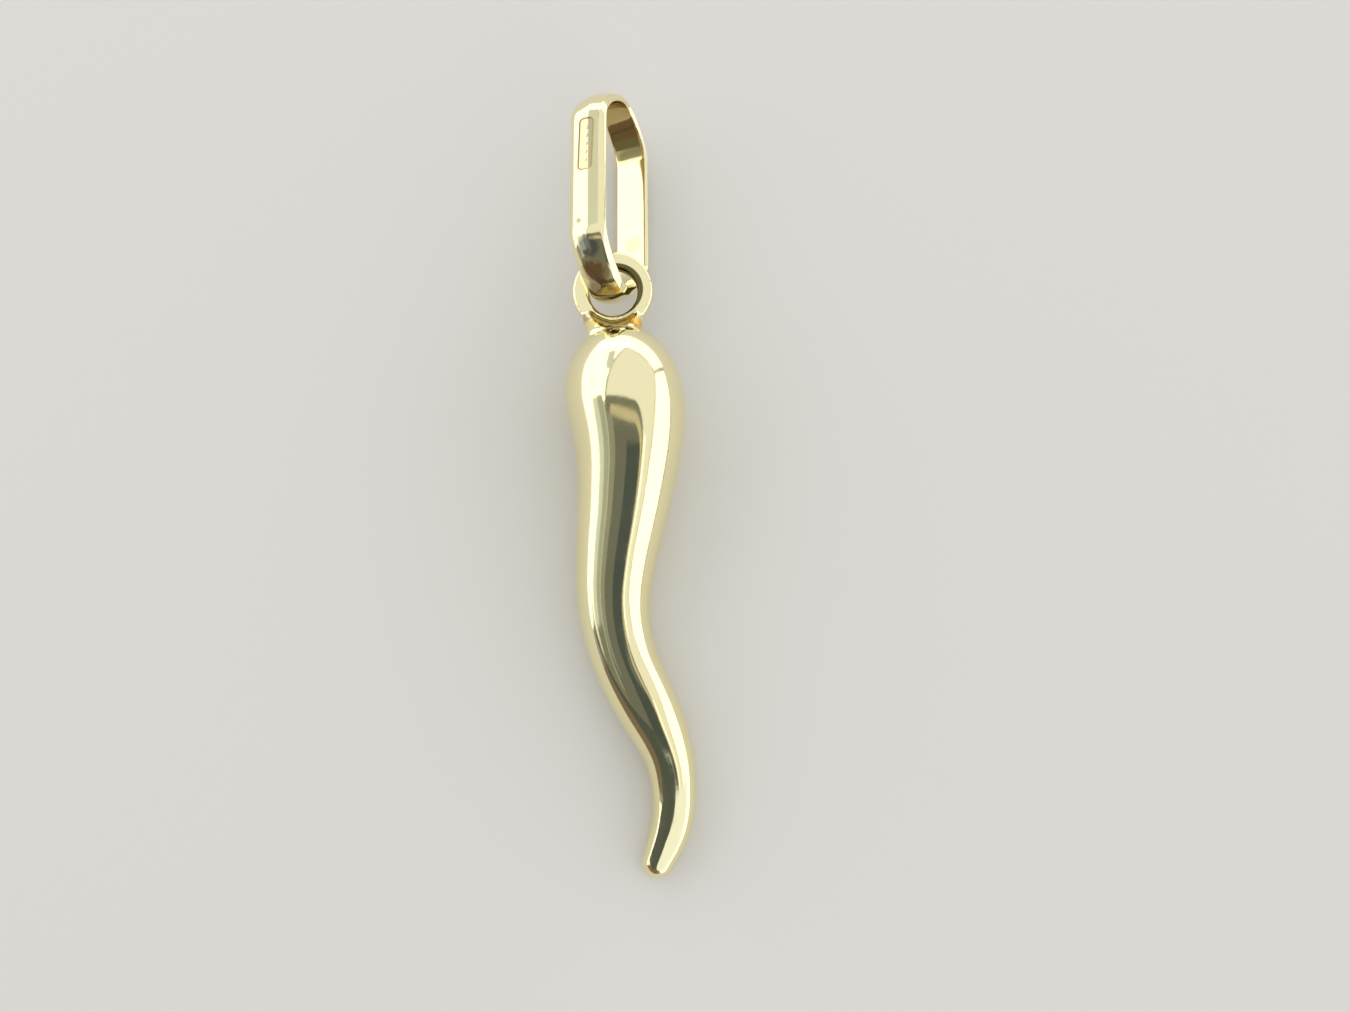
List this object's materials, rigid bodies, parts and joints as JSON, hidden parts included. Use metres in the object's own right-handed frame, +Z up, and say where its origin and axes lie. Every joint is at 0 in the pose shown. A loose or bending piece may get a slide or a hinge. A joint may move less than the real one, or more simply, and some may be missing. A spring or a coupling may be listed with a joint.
{
  "type": "horn pendant",
  "caption": "Hollow curved horn pendant with a round soldered loop and a long band bail threaded through it, lying on its side.",
  "frame": {"origin": "on the resting surface, under the middle of the whole pendant's outline as it lies", "axes": "+Y runs along the pendant from the horn's tip to the bail, +Z is up from the resting surface, +X is to the right seen from above with the bail away"},
  "size_m": [0.0052, 0.0319, 0.0047],
  "materials": {
    "horn_gold": "mirror-polished pale yellow gold with fine scratches and a warm stain at the solder",
    "bail_gold": "mirror-polished pale yellow gold with fine scratches"
  },
  "bodies": {
    "root": {"horn": "horn_gold", "bail": "bail_gold"}
  },
  "joints": []
}
